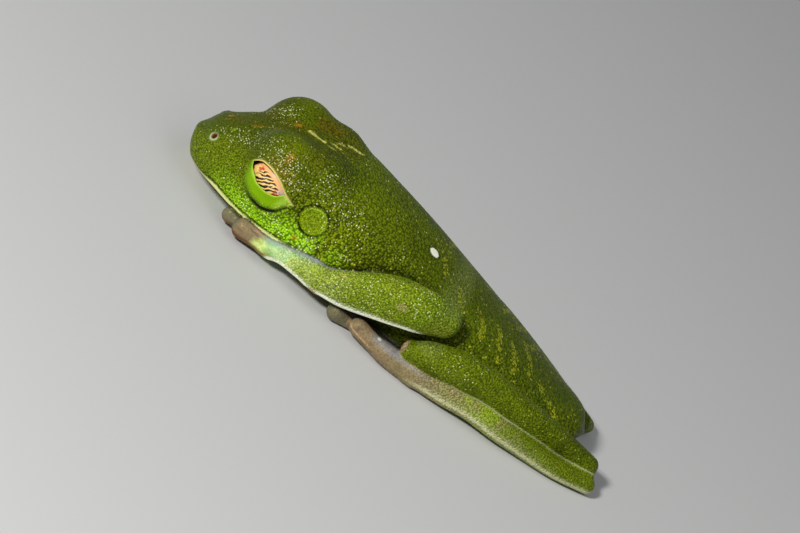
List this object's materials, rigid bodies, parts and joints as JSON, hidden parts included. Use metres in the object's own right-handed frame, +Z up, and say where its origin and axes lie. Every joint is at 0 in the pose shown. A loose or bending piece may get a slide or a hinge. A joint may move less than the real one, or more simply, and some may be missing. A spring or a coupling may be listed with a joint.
{
  "type": "red-eyed tree frog",
  "caption": "Life-size still model of a sleeping red-eyed tree frog: crouched flat on its belly, limbs folded to its sides, slit eyes nearly shut under green lids.",
  "frame": {"origin": "on the floor under the middle of the bounding box, at the bottom of the belly", "axes": "+Z up, the head towards -Y and the heels towards +Y, the animal's left side towards +X"},
  "size_m": [0.0238, 0.0584, 0.0127],
  "materials": {
    "skin_back": "moist finely granular dark olive-green skin with pale yellow-green flecks, satin",
    "skin_limb": "moist finely granular leaf-green skin with a cream fringe along the outer edge, satin",
    "skin_digit": "smooth moist grey-mauve to pale green skin of digits and discs, satin",
    "skin_ear": "thin smooth light green ear disc, satin",
    "eye": "wet glossy eye, gold-netted membrane over red"
  },
  "bodies": {
    "root": {"head": "skin_back", "torso": "skin_back", "eye_left": "eye", "eye_right": "eye", "tympanum_left": "skin_ear", "tympanum_right": "skin_ear", "upper_arm_left": "skin_limb", "upper_arm_right": "skin_limb", "forearm_left": "skin_limb", "forearm_right": "skin_limb", "hand_left": "skin_digit", "hand_right": "skin_digit", "thigh_left": "skin_limb", "thigh_right": "skin_limb", "shank_left": "skin_limb", "shank_right": "skin_limb", "foot_left": "skin_digit", "foot_right": "skin_digit"}
  },
  "joints": []
}
